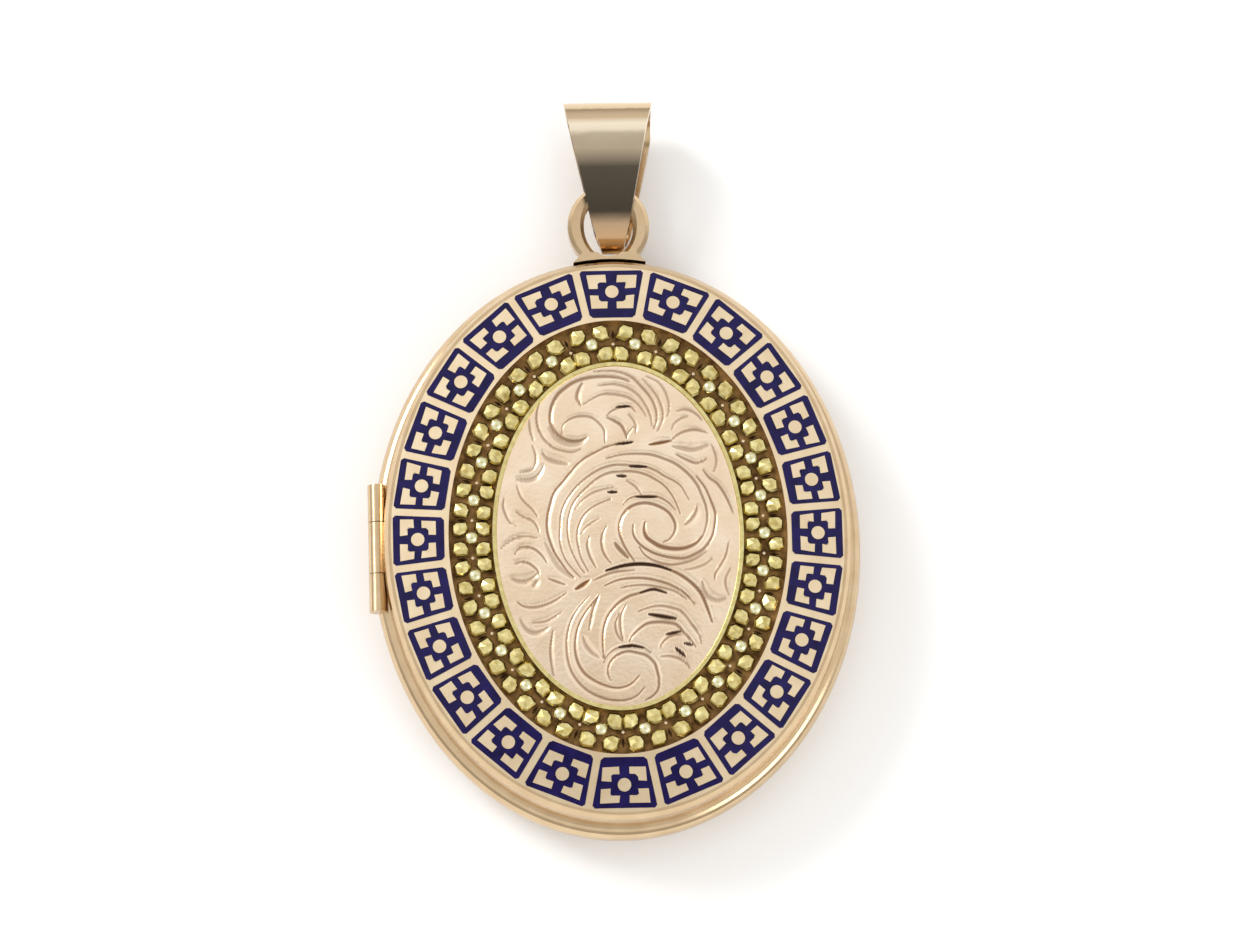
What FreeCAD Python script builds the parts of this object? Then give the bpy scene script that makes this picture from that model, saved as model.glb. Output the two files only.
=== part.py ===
import FreeCAD, Part
import math
import os
import Sketcher

# An oval photograph locket, lying on its flat back.
# X runs across the locket with the hinge at -X, Y runs up to the bail, Z out of the front.
# The origin is the middle of the flat back face.  Lengths are in millimetres.

V = FreeCAD.Vector
doc = FreeCAD.newDocument("locket")

DIMENSIONS = {
    # The case.  Every outline is an ellipse whose half length is its half width + elongation.
    "elongation": 2.85,
    "flat_half_width": 10.9,
    "widest_half_width": 13.2,
    "seam_half_width": 12.6,
    "widest_height": 2.6,
    "seam_height": 3.4,
    "wall": 0.45,
    "cavity_flat_half_width": 10.75,
    # The lip that the cover closes over, and the bead that holds it shut.
    "lip_half_width": 12.0,
    "lip_wall": 0.27,
    "lip_bottom": 2.7,
    "lip_top": 3.95,
    "bead_radius": 0.2,
    "bead_proud": 0.1,
    "bead_height": 3.68,
    "bead_length": 1.6,
    # The liner cups, and the card, glass and frame in each of them.
    "cup_half_width": 10.9,
    "cup_wall": 0.3,
    "cup_floor": 0.15,
    "flange": 0.23,
    "card": 0.2,
    "glass": 0.3,
    "frame_width": 0.75,
    "frame_height": 0.3,
    "back_cup_top": 3.3,
    "front_cup_bottom": 4.0,
    # The cover.
    "cover_inner_half_width": 12.13,
    "cover_edge_half_width": 12.35,
    "cover_edge_height": 5.28,
    "cover_shoulder_half_width": 12.54,
    "cover_shoulder_height": 5.0,
    # The enamelled plate: a shallow dome between the rim and the flower ring.
    "plate_half_width": 12.2,
    "plate_bottom": 4.95,
    "plate_edge_height": 5.25,
    "plate_inner_half_width": 9.1,
    "plate_inner_height": 5.6,
    "cell_bottom": 5.02,
    "cell_top": 6.0,
    "cell_outer_half_width": 12.08,
    "cell_inner_half_width": 9.42,
    "cell_wall": 0.4,
    "island_size": 0.8,
    "island_spread": 0.7,
    "dot_radius": 0.36,
    # The flower ring and the engraved plaque inside it.
    "channel_floor": 5.2,
    "flower_line_half_width": 7.86,
    "petal_size": 0.72,
    "petal_top_size": 0.42,
    "petal_spread": 0.52,
    "petal_height": 0.38,
    "centre_radius": 0.3,
    "centre_top_radius": 0.2,
    "centre_height": 0.6,
    "collet_wall": 0.2,
    "collet_top": 5.72,
    "plaque_half_width": 6.55,
    "plaque_edge_height": 5.66,
    "plaque_crown": 0.22,
    # The hinge along the left side.
    "pin_offset": 12.9,
    "pin_radius": 0.2,
    "pin_clearance": 0.02,
    "knuckle_radius": 0.5,
    "knuckle_clearance": 0.06,
    "solder_gap": 0.01,
    "centre_knuckle_length": 2.8,
    "end_knuckle_length": 2.05,
    "knuckle_gap": 0.05,
    # The fixed ring at the top and the saddle that carries it.
    "ring_height": 2.6,
    "ring_thickness": 1.1,
    "ring_half_width": 2.23,
    "ring_half_length": 2.35,
    "ring_centre": 18.0,
    "eye_half_width": 1.35,
    "eye_half_length": 1.8,
    "eye_centre": 18.0,
    "ring_bevel": 0.2,
    "saddle_bottom_half_width": 2.3,
    "saddle_top_half_width": 1.45,
    "saddle_bottom": 15.5,
    "saddle_top": 16.45,
    "saddle_low": 1.95,
    "saddle_high": 3.3,
    # The bail, a folded strip that tapers to the tip in the ring.
    "bail_strip": 0.4,
    "bail_tip": 16.52,
    "bail_shoulder": 17.75,
    "bail_top": 24.85,
    "bail_tip_half_width": 0.53,
    "bail_shoulder_half_width": 0.98,
    "bail_top_half_width": 2.48,
    "bail_askew": 0.4,
}
CELLS = 24
FLOWERS = 26
CELL_CROWDING = 0.05
FLOWER_CROWDING = 0.09
PROFILE_STEP = 15

sheet = doc.addObject("Spreadsheet::Sheet", "dims")
for row, (alias, value) in enumerate(DIMENSIONS.items(), start=1):
    sheet.set(f"A{row}", alias)
    sheet.set(f"B{row}", str(value))
    sheet.setAlias(f"B{row}", alias)
doc.recompute()


def dim(alias):
    """A driving dimension, read back from the sheet."""
    return float(sheet.get(alias))


# ---------------------------------------------------------------- building blocks

def oval(name, half_width, height):
    """An ellipse at a height, long axis along Y.  Both sizes are expressions."""
    curve = doc.addObject("Part::Ellipse", name)
    curve.setExpression("MinorRadius", half_width)
    curve.setExpression("MajorRadius", f"{half_width} + dims.elongation")
    curve.Placement.Rotation = FreeCAD.Rotation(V(0, 0, 1), 90)
    curve.setExpression("Placement.Base.z", height)
    return curve


def turned(name, profile):
    """A solid through ovals, given as (half width, height) expressions from the bottom up."""
    loft = doc.addObject("Part::Loft", name)
    loft.Sections = [oval(f"{name}_oval_{i}", *station) for i, station in enumerate(profile)]
    loft.Solid = True
    loft.Ruled = True
    return loft


def slab(name, half_width, bottom, top):
    """An upright oval block between two heights."""
    block = doc.addObject("Part::Extrusion", name)
    block.Base = oval(f"{name}_oval", half_width, bottom)
    block.DirMode = "Custom"
    block.Dir = V(0, 0, 1)
    block.setExpression("LengthFwd", f"({top}) - ({bottom})")
    block.Solid = True
    return block


def slab_at(name, half_width, half_length, centre, bottom, top):
    """An upright oval block of any length, centred at a place along Y."""
    block = slab(name, half_width, bottom, top)
    block.Base.setExpression("MajorRadius", half_length)
    block.Base.setExpression("Placement.Base.y", centre)
    return block


def cut(name, base, *tools):
    """base with each tool cut away in turn.  The last cut carries the name."""
    result = base
    for i, tool in enumerate(tools, start=1):
        step_name = name if i == len(tools) else f"{name}_step_{i}"
        step = doc.addObject("Part::Cut", step_name)
        step.Base = result
        step.Tool = tool
        result = step
    return result


def fuse(name, *shapes):
    """One solid from several that touch or overlap."""
    union = doc.addObject("Part::MultiFuse", name)
    union.Shapes = list(shapes)
    return union


def feature(name, shape):
    """A shape worked out below, as an object of the document."""
    result = doc.addObject("Part::Feature", name)
    result.Shape = shape
    result.Placement = FreeCAD.Placement()
    return result


def rod(name, radius, middle, length):
    """A cylinder along the hinge line, centred at a place along it."""
    cylinder = doc.addObject("Part::Cylinder", name)
    cylinder.setExpression("Radius", radius)
    cylinder.setExpression("Height", length)
    cylinder.Placement.Rotation = FreeCAD.Rotation(V(1, 0, 0), -90)
    cylinder.setExpression("Placement.Base.x", "-dims.pin_offset")
    cylinder.setExpression("Placement.Base.y", f"({middle}) - ({length}) / 2")
    cylinder.setExpression("Placement.Base.z", "dims.seam_height")
    return cylinder


def along_oval(half_width, turn):
    """Point and outward normal on an oval, where a ray at this angle from the top meets it."""
    half_length = half_width + dim("elongation")
    reach = 1 / math.hypot(math.sin(turn) / half_width, math.cos(turn) / half_length)
    point = V(reach * math.sin(turn), reach * math.cos(turn), 0)
    normal = V(point.x / half_width**2, point.y / half_length**2, 0)
    return point, normal.normalize()


def station(index, count, crowding):
    """The angle of one of count places round the oval, slightly crowded at top and bottom."""
    turn = 2 * math.pi * index / count
    return turn - crowding * math.sin(2 * turn) / 2


def frame_at(half_width, turn, height):
    """A placement on an oval with local Y pointing outwards."""
    point, normal = along_oval(half_width, turn)
    angle = math.degrees(math.atan2(-normal.x, normal.y))
    return FreeCAD.Placement(V(point.x, point.y, height), FreeCAD.Rotation(V(0, 0, 1), angle))


# ---------------------------------------------------------------- the back half

def quarter(low_width, high_width, low, high, step):
    """One station of a profile that leaves the flat face and rises to its widest."""
    width = f"{low_width} + ({high_width} - ({low_width})) * sin({step} deg)"
    height = f"{low} + ({high} - ({low})) * (1 - cos({step} deg))"
    return width, height


def shoulder(low_width, high_width, low, high, step):
    """One station of a profile that rounds in from its widest to the seam."""
    width = f"{high_width} + ({low_width} - ({high_width})) * cos({step} deg)"
    height = f"{low} + ({high} - ({low})) * sin({step} deg)"
    return width, height


rise = range(0, 91, PROFILE_STEP)
turn_in = range(PROFILE_STEP, 91, PROFILE_STEP)
outer_profile = [
    quarter("dims.flat_half_width", "dims.widest_half_width", "0", "dims.widest_height", step)
    for step in rise
] + [
    shoulder("dims.widest_half_width", "dims.seam_half_width",
             "dims.widest_height", "dims.seam_height", step)
    for step in turn_in
]
inner_widest = "dims.widest_half_width - dims.wall"
inner_profile = [
    quarter("dims.cavity_flat_half_width", inner_widest, "dims.wall", "dims.widest_height", step)
    for step in rise
] + [("dims.lip_half_width", "dims.seam_height")]

back_outer = turned("back_outer", outer_profile)
back_cavity = turned("back_cavity", inner_profile)

hinge_length = "(dims.centre_knuckle_length + 2 * dims.end_knuckle_length + 2 * dims.knuckle_gap)"
end_middle = ("(dims.centre_knuckle_length / 2 + dims.knuckle_gap"
              " + dims.end_knuckle_length / 2)")
free_radius = "dims.knuckle_radius + dims.knuckle_clearance"
centre_room = "dims.centre_knuckle_length + 2 * dims.knuckle_gap"
end_room = "dims.end_knuckle_length + dims.knuckle_gap * 3 / 2"
end_room_middle = end_middle + " + dims.knuckle_gap / 4"
# One rod makes both seats of the end knuckles; it is cut before the room between them.
seat_radius = "dims.knuckle_radius + dims.solder_gap"

back_shell = cut(
    "back_shell", back_outer, back_cavity,
    rod("back_seats_for_end_knuckles", seat_radius, "0", hinge_length),
    rod("back_room_for_centre_knuckle", free_radius, "0", centre_room),
)

closing_lip = cut(
    "closing_lip",
    slab("lip_block", "dims.lip_half_width", "dims.lip_bottom", "dims.lip_top"),
    slab("lip_bore", "dims.lip_half_width - dims.lip_wall", "dims.lip_bottom", "dims.lip_top"),
    rod("lip_room_for_knuckles", free_radius, "0", hinge_length),
)

bead_rod = doc.addObject("Part::Cylinder", "bead_rod")
bead_rod.setExpression("Radius", "dims.bead_radius")
bead_rod.setExpression("Height", "dims.bead_length")
bead_rod.Placement.Rotation = FreeCAD.Rotation(V(1, 0, 0), -90)
bead_rod.setExpression("Placement.Base.x",
                       "dims.lip_half_width + dims.bead_proud - dims.bead_radius")
bead_rod.setExpression("Placement.Base.y", "-dims.bead_length / 2")
bead_rod.setExpression("Placement.Base.z", "dims.bead_height")
catch_bead = cut(
    "catch_bead", bead_rod,
    slab("bead_trim", "dims.lip_half_width", "dims.seam_height", "dims.lip_top"),
)


# ---------------------------------------------------------------- photograph holders

def photo_holder(side, mouth, inward, flange_half_width):
    """The liner cup of one half, with its card, glass and frame.

    mouth is the height of the cup's open end, and inward is +1 where the cup goes up from it.
    """
    def level(*parts):
        """The height that many thicknesses in from the mouth."""
        total = " + ".join(parts) if parts else "0"
        return f"{mouth} + ({inward}) * ({total})"

    def disc(name, half_width, near, far):
        """An oval block between two levels, whichever is the higher."""
        low, high = (near, far) if inward > 0 else (far, near)
        return slab(name, half_width, low, high)

    under_frame = level("dims.frame_height")
    under_glass = level("dims.frame_height", "dims.glass")
    under_card = level("dims.frame_height", "dims.glass", "dims.card")
    under_floor = level("dims.frame_height", "dims.glass", "dims.card", "dims.cup_floor")
    bore = "dims.cup_half_width - dims.cup_wall"
    cup = fuse(
        f"{side}_cup_and_flange",
        disc(f"{side}_cup_block", "dims.cup_half_width", level(), under_floor),
        disc(f"{side}_flange_block", flange_half_width, level(), level("dims.flange")),
    )
    liner = cut(f"{side}_liner", cup, disc(f"{side}_cup_bore", bore, level(), under_card))
    frame = cut(
        f"{side}_photo_frame",
        disc(f"{side}_frame_block", bore, level(), under_frame),
        disc(f"{side}_frame_bore", f"{bore} - dims.frame_width", level(), under_frame),
    )
    glass = disc(f"{side}_photo_glass", bore, under_frame, under_glass)
    card = disc(f"{side}_photo_card", bore, under_glass, under_card)
    return [liner, frame, glass, card]


back_holder = photo_holder("back", "dims.back_cup_top", -1,
                           "dims.lip_half_width - dims.lip_wall")
front_holder = photo_holder("front", "dims.front_cup_bottom", 1,
                            "dims.cover_inner_half_width")

# ---------------------------------------------------------------- the cover

cover_outer = turned("cover_outer", [
    ("dims.seam_half_width", "dims.seam_height"),
    ("dims.seam_half_width", "(dims.seam_height + dims.cover_shoulder_height) / 2"),
    ("dims.cover_shoulder_half_width", "dims.cover_shoulder_height"),
    ("dims.cover_edge_half_width", "dims.cover_edge_height"),
])
front_shell = cut(
    "front_shell", cover_outer,
    slab("cover_bore", "dims.cover_inner_half_width", "dims.seam_height", "dims.plate_bottom"),
    slab("cover_rebate", "dims.plate_half_width", "dims.plate_bottom", "dims.cover_edge_height"),
    rod("cover_seat_for_centre_knuckle", "dims.knuckle_radius", "0",
        "dims.centre_knuckle_length"),
    rod("cover_room_for_upper_knuckle", free_radius, end_room_middle, end_room),
    rod("cover_room_for_lower_knuckle", free_radius, f"-({end_room_middle})", end_room),
)

# ---------------------------------------------------------------- the enamelled plate

plate_blank = turned("plate_blank", [
    ("dims.plate_half_width", "dims.plate_bottom"),
    ("dims.plate_half_width", "dims.plate_edge_height"),
    ("dims.plate_inner_half_width", "dims.plate_inner_height"),
])
plate_hole = slab("plate_hole", "dims.plate_inner_half_width",
                  "dims.plate_bottom", "dims.plate_inner_height")


def cell_middle_half_width():
    """The half width of the oval that runs along the middle of the enamel cells."""
    return (dim("cell_outer_half_width") + dim("cell_inner_half_width")) / 2


def spoke(index):
    """The gold wall between two cells."""
    thick, length = dim("cell_wall"), 5.0
    wall = Part.makeBox(thick, length, 2.0, V(-thick / 2, -length / 2, 0))
    turn = station(index + 0.5, CELLS, CELL_CROWDING)
    wall.Placement = frame_at(cell_middle_half_width(), turn, dim("cell_bottom"))
    return wall


def motif(index):
    """The gold dot in the middle of a cell and the four notched islands round it."""
    size, spread, height = dim("island_size"), dim("island_spread"), 2.0
    dot = Part.makeCylinder(dim("dot_radius"), height)
    notch = Part.makeCylinder(dim("dot_radius") + size / 4, height)
    pieces = [dot]
    for right in (-1, 1):
        for out in (-1, 1):
            corner = V(right * spread - size / 2, out * spread - size / 2, 0)
            pieces.append(Part.makeBox(size, size, height, corner).cut(notch))
    place = frame_at(cell_middle_half_width(), station(index, CELLS, CELL_CROWDING),
                     dim("cell_bottom"))
    for piece in pieces:
        piece.Placement = place
    return pieces


gold_between = [spoke(index) for index in range(CELLS)]
for index in range(CELLS):
    gold_between += motif(index)
cell_band = cut(
    "cell_band",
    slab("cell_band_outer", "dims.cell_outer_half_width", "dims.cell_bottom", "dims.cell_top"),
    slab("cell_band_inner", "dims.cell_inner_half_width", "dims.cell_bottom", "dims.cell_top"),
)
enamel_tool = cut("enamel_tool", cell_band,
                  feature("gold_between_cells", Part.makeCompound(gold_between)))
enamel_cells = doc.addObject("Part::Common", "enamel_cells")
enamel_cells.Base = plate_blank
enamel_cells.Tool = enamel_tool
enamel_plate = cut("enamel_plate", plate_blank, plate_hole, enamel_tool)

# ---------------------------------------------------------------- the flower ring

flower_channel = cut(
    "flower_channel",
    slab("channel_block", "dims.plate_inner_half_width", "dims.plate_bottom",
         "dims.channel_floor"),
    slab("channel_bore", "dims.plaque_half_width", "dims.plate_bottom", "dims.channel_floor"),
)
plaque_collet = cut(
    "plaque_collet",
    slab("collet_block", "dims.plaque_half_width + dims.collet_wall", "dims.channel_floor",
         "dims.collet_top"),
    slab("collet_bore", "dims.plaque_half_width", "dims.channel_floor", "dims.collet_top"),
)


def square(side, height):
    """A square wire round the Z axis."""
    half = side / 2
    corners = [V(-half, -half, height), V(half, -half, height),
               V(half, half, height), V(-half, half, height)]
    return Part.makePolygon(corners + corners[:1])


def flower_place(index):
    """Where a flower stands on the channel floor."""
    turn = station(index + 0.5, FLOWERS, FLOWER_CROWDING)
    return frame_at(dim("flower_line_half_width"), turn, dim("channel_floor"))


def petals(index):
    """Four bevelled petals round the middle of a flower."""
    made = []
    for right in (-1, 1):
        for out in (-1, 1):
            petal = Part.makeLoft([square(dim("petal_size"), 0),
                                   square(dim("petal_top_size"), dim("petal_height"))], True)
            petal.translate(V(right * dim("petal_spread"), out * dim("petal_spread"), 0))
            petal.Placement = flower_place(index).multiply(petal.Placement)
            made.append(petal)
    return made


def flower_centre(index):
    """A tapered round post."""
    post = Part.makeCone(dim("centre_radius"), dim("centre_top_radius"), dim("centre_height"))
    post.Placement = flower_place(index)
    return post


petal_solids = []
for index in range(FLOWERS):
    petal_solids += petals(index)
flower_petals = feature("flower_petals", Part.makeCompound(petal_solids))
flower_centres = feature(
    "flower_centres", Part.makeCompound([flower_centre(index) for index in range(FLOWERS)]))

crown = "dims.plaque_crown"
centre_plaque = turned("centre_plaque", [
    ("dims.plaque_half_width", "dims.plate_bottom"),
    ("dims.plaque_half_width", "dims.plaque_edge_height"),
    ("dims.plaque_half_width * 0.85", f"dims.plaque_edge_height + {crown} * 0.4"),
    ("dims.plaque_half_width * 0.6", f"dims.plaque_edge_height + {crown} * 0.8"),
    ("dims.plaque_half_width * 0.25", f"dims.plaque_edge_height + {crown}"),
])

# ---------------------------------------------------------------- hinge knuckles and pin


def barrel(name, radius, bore, spans):
    """A PartDesign body of round pads along the hinge line.

    spans are (middle, length) expressions, and bore is the hole's radius, or None.
    """
    body = doc.addObject("PartDesign::Body", name)
    body.setExpression("Placement.Base.x", "-dims.pin_offset")
    body.setExpression("Placement.Base.z", "dims.seam_height")
    plane = next(f for f in body.Origin.OriginFeatures if f.Role == "XZ_Plane")
    for i, (middle, length) in enumerate(spans):
        sketch = body.newObject("Sketcher::SketchObject", f"{name}_circle_{i}")
        sketch.AttachmentSupport = [(plane, "")]
        sketch.MapMode = "FlatFace"
        sketch.setExpression("AttachmentOffset.Base.z", f"-({middle}) - ({length}) / 2")
        for alias in filter(None, (radius, bore)):
            ring = sketch.addGeometry(Part.Circle(V(0, 0, 0), V(0, 0, 1), 1), False)
            sketch.addConstraint(Sketcher.Constraint("Coincident", ring, 3, -1, 1))
            size = sketch.addConstraint(Sketcher.Constraint("Radius", ring, 1))
            sketch.setExpression(f"Constraints[{size}]", alias)
        pad = body.newObject("PartDesign::Pad", f"{name}_pad_{i}")
        pad.Profile = sketch
        pad.setExpression("Length", length)
    return body


hinge_centre_knuckle = barrel(
    "hinge_centre_knuckle", "dims.knuckle_radius", "dims.pin_radius + dims.pin_clearance",
    [("0", "dims.centre_knuckle_length")])
hinge_pin = barrel("hinge_pin", "dims.pin_radius", None, [("0", hinge_length)])
upper_knuckle = barrel("upper_knuckle", "dims.knuckle_radius", "dims.pin_radius",
                       [(end_middle, "dims.end_knuckle_length")])
lower_knuckle = barrel("lower_knuckle", "dims.knuckle_radius", "dims.pin_radius",
                       [(f"-({end_middle})", "dims.end_knuckle_length")])
hinge_end_knuckles = doc.addObject("Part::Compound", "hinge_end_knuckles")
hinge_end_knuckles.Links = [upper_knuckle, lower_knuckle]

# ---------------------------------------------------------------- the ring and its saddle


def ring_loft(name, half_width, half_length, centre, bevel):
    """An upright oval as thick as the ring, bevelled at both faces by this much."""
    middle = "dims.ring_height"
    half = "dims.ring_thickness / 2"
    levels = [
        (bevel, f"{middle} - {half}"),
        ("0", f"{middle} - {half} + dims.ring_bevel"),
        ("0", f"{middle} + {half} - dims.ring_bevel"),
        (bevel, f"{middle} + {half}"),
    ]
    sections = []
    for i, (change, level) in enumerate(levels):
        curve = doc.addObject("Part::Ellipse", f"{name}_oval_{i}")
        curve.setExpression("MinorRadius", f"{half_width} + ({change})")
        curve.setExpression("MajorRadius", f"{half_length} + ({change})")
        curve.Placement.Rotation = FreeCAD.Rotation(V(0, 0, 1), 90)
        curve.setExpression("Placement.Base.y", centre)
        curve.setExpression("Placement.Base.z", level)
        sections.append(curve)
    loft = doc.addObject("Part::Loft", name)
    loft.Sections = sections
    loft.Solid = True
    loft.Ruled = True
    return loft


ring_disc = ring_loft("ring_disc", "dims.ring_half_width", "dims.ring_half_length",
                      "dims.ring_centre", "-dims.ring_bevel")
ring_eye = ring_loft("ring_eye", "dims.eye_half_width", "dims.eye_half_length",
                     "dims.eye_centre", "dims.ring_bevel")

saddle_blank = doc.addObject("Part::Wedge", "saddle_blank")
saddle_sides = {
    "Xmin": "-dims.saddle_bottom_half_width",
    "Xmax": "dims.saddle_bottom_half_width",
    "X2min": "-dims.saddle_top_half_width",
    "X2max": "dims.saddle_top_half_width",
    "Ymin": "dims.saddle_bottom",
    "Ymax": "dims.saddle_top",
    "Zmin": "dims.saddle_low",
    "Z2min": "dims.saddle_low",
    "Zmax": "dims.saddle_high",
    "Z2max": "dims.saddle_high",
}
for side, expression in saddle_sides.items():
    saddle_blank.setExpression(side, expression)

case_side = slab("case_side", "dims.widest_half_width", "dims.saddle_low - 1",
                 "dims.saddle_high + 1")
eye_room = slab_at("eye_room", "dims.eye_half_width", "dims.eye_half_length",
                   "dims.eye_centre", "dims.saddle_low - 1", "dims.saddle_high + 1")
ring_saddle = cut("ring_saddle", saddle_blank, case_side, eye_room)
suspension_ring = cut("suspension_ring", ring_disc, ring_eye, saddle_blank, case_side)

# ---------------------------------------------------------------- the bail

# The outside of the strip seen from the side, as (Y from the tip, Z from the ring's middle):
# up the front from the tip, over the fold at the top and down the rear.
BAIL_SIDE = [
    (0.0, 0.0), (0.3, 0.72), (0.95, 1.15), (2.2, 1.5), (3.6, 1.78), (5.4, 2.1), (7.0, 2.2),
    (8.05, 1.55), (8.4, 0.1), (8.05, -1.35), (7.0, -2.0), (5.4, -2.0), (3.6, -1.75),
    (2.2, -1.5), (0.95, -1.12), (0.3, -0.68),
]


INSIDE_POINTS = 40


def closed_curve(points):
    """A smooth closed curve through points."""
    curve = Part.BSplineCurve()
    curve.interpolate(points, PeriodicFlag=True)
    return curve


def face_within(curve):
    """The flat face inside a closed curve, bounded by two edges."""
    first, last = curve.FirstParameter, curve.LastParameter
    middle = (first + last) / 2
    opened = curve.copy()
    opened.setNotPeriodic()
    return Part.Face(Part.Wire([opened.toShape(first, middle), opened.toShape(middle, last)]))


def bail_shape():
    """The folded strip: its side outline made hollow, then tapered as seen from the front."""
    tip, height = dim("bail_tip"), dim("ring_height")
    reach = 2 * dim("bail_top_half_width") + 0.04
    across = V(reach, 0, 0)
    outside = closed_curve([V(-reach / 2, tip + along, height + off)
                            for along, off in BAIL_SIDE])
    inside_points = []
    for i in range(INSIDE_POINTS):
        step = (outside.LastParameter - outside.FirstParameter) / INSIDE_POINTS
        place = outside.FirstParameter + i * step
        inward = outside.tangent(place)[0].cross(V(1, 0, 0))
        inside_points.append(outside.value(place) + inward * dim("bail_strip"))
    inside = closed_curve(inside_points)
    strip = face_within(outside).extrude(across).cut(face_within(inside).extrude(across))
    half_widths = [
        (tip - 0.1, dim("bail_tip_half_width")),
        (dim("bail_shoulder"), dim("bail_shoulder_half_width")),
        (dim("bail_top") + 0.1, dim("bail_top_half_width")),
    ]
    right = [V(half, y, 0) for y, half in half_widths]
    left = [V(-half, y, 0) for y, half in reversed(half_widths)]
    taper = Part.Face(Part.makePolygon(right + left + right[:1]))
    taper.translate(V(dim("bail_askew"), 0, 0))
    lean = V(-dim("bail_askew"), 0, 2 * height)
    return strip.common(taper.extrude(lean)).Solids[0]


bail = feature("bail", bail_shape())

# ---------------------------------------------------------------- check and write

SUB_PARTS = [
    back_shell, closing_lip, catch_bead, *back_holder,
    hinge_end_knuckles, hinge_pin, ring_saddle, suspension_ring,
    front_shell, *front_holder, hinge_centre_knuckle,
    enamel_plate, enamel_cells, flower_channel, flower_petals, flower_centres,
    plaque_collet, centre_plaque,
    bail,
]

doc.recompute()
for item in doc.Objects:
    if "Invalid" in item.State or "Error" in item.State:
        raise RuntimeError(f"{item.Name} did not compute: {item.State}")
os.makedirs("parts", exist_ok=True)
for item in SUB_PARTS:
    shape = item.Shape
    if shape.isNull() or not shape.isValid() or shape.Volume <= 0:
        raise RuntimeError(f"{item.Label} has no sound shape")
    shape.exportStep(f"parts/{item.Label}.step")
    box = shape.BoundBox
    print(f"{item.Label:22s} {len(shape.Solids):4d} solids {shape.Volume:9.3f} mm3  "
          f"x {box.XMin:7.2f} {box.XMax:7.2f}  y {box.YMin:7.2f} {box.YMax:7.2f}  "
          f"z {box.ZMin:6.2f} {box.ZMax:6.2f}")
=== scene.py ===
import math
import random

import bmesh
import bpy
from mathutils import Matrix, Vector


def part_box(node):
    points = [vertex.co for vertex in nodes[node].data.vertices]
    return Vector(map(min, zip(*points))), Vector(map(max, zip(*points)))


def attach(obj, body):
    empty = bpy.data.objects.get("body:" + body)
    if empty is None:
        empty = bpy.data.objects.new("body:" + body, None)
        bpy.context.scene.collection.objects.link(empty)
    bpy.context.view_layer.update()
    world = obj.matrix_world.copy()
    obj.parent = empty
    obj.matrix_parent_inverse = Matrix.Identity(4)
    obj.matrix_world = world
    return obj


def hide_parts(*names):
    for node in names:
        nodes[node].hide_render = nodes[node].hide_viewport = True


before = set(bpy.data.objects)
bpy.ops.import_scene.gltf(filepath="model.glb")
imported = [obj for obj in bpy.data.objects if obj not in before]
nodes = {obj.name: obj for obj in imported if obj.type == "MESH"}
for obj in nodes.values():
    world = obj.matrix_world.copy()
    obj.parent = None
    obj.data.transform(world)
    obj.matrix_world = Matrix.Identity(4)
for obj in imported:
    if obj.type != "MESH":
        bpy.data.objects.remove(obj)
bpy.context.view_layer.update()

MM = 0.001
ELONGATION = 2.85
CELLS = 24
FLOWERS = 26
CELL_CROWDING = 0.05
FLOWER_CROWDING = 0.09
CELL_LINE = 10.75
FLOWER_LINE = 7.86
FLOWER_PITCH = 2.29


# ---------------------------------------------------------------- ovals
def oval_point(half_width, turn):
    """Point of the oval in mm; turn runs clockwise from the top."""
    return Vector((half_width * math.sin(turn), (half_width + ELONGATION) * math.cos(turn), 0))


def along_oval(half_width, turn):
    """Point and outward normal on an oval, where a ray at this angle from the top meets it."""
    half_length = half_width + ELONGATION
    reach = 1 / math.hypot(math.sin(turn) / half_width, math.cos(turn) / half_length)
    point = Vector((reach * math.sin(turn), reach * math.cos(turn), 0))
    return point, Vector((point.x / half_width ** 2, point.y / half_length ** 2, 0)).normalized()


def station(index, count, crowding):
    """Turn of one of count stations, closer together along the sides."""
    turn = 2 * math.pi * index / count
    return turn - crowding * math.sin(2 * turn) / 2


# ---------------------------------------------------------------- materials
def value_nodes(name):
    """New material, its node tree and its shader."""
    material = bpy.data.materials.new(name)
    material.use_nodes = True
    tree = material.node_tree
    return material, tree, tree.nodes["Principled BSDF"]


def noise(tree, scale, detail=3.0):
    coords = tree.nodes.new("ShaderNodeTexCoord")
    texture = tree.nodes.new("ShaderNodeTexNoise")
    texture.inputs["Scale"].default_value = scale
    texture.inputs["Detail"].default_value = detail
    tree.links.new(coords.outputs["Object"], texture.inputs["Vector"])
    return texture.outputs["Fac"]


def ramp(tree, source, stops):
    node = tree.nodes.new("ShaderNodeValToRGB")
    elements = node.color_ramp.elements
    while len(elements) < len(stops):
        elements.new(0.5)
    for element, (place, colour) in zip(elements, stops):
        element.position = place
        element.color = (*colour, 1)
    tree.links.new(source, node.inputs["Fac"])
    return node.outputs["Color"]


def metal(name, light, dark, roughness, scale=900, bump=0.0, bump_scale=6000):
    """Metal whose colour drifts a little between two shades."""
    material, tree, shader = value_nodes(name)
    shader.inputs["Metallic"].default_value = 1.0
    shader.inputs["Roughness"].default_value = roughness
    colour = ramp(tree, noise(tree, scale), [(0.3, dark), (0.7, light)])
    tree.links.new(colour, shader.inputs["Base Color"])
    if bump:
        relief = tree.nodes.new("ShaderNodeBump")
        relief.inputs["Strength"].default_value = bump
        relief.inputs["Distance"].default_value = 0.00002
        tree.links.new(noise(tree, bump_scale), relief.inputs["Height"])
        tree.links.new(relief.outputs["Normal"], shader.inputs["Normal"])
    return material


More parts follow.
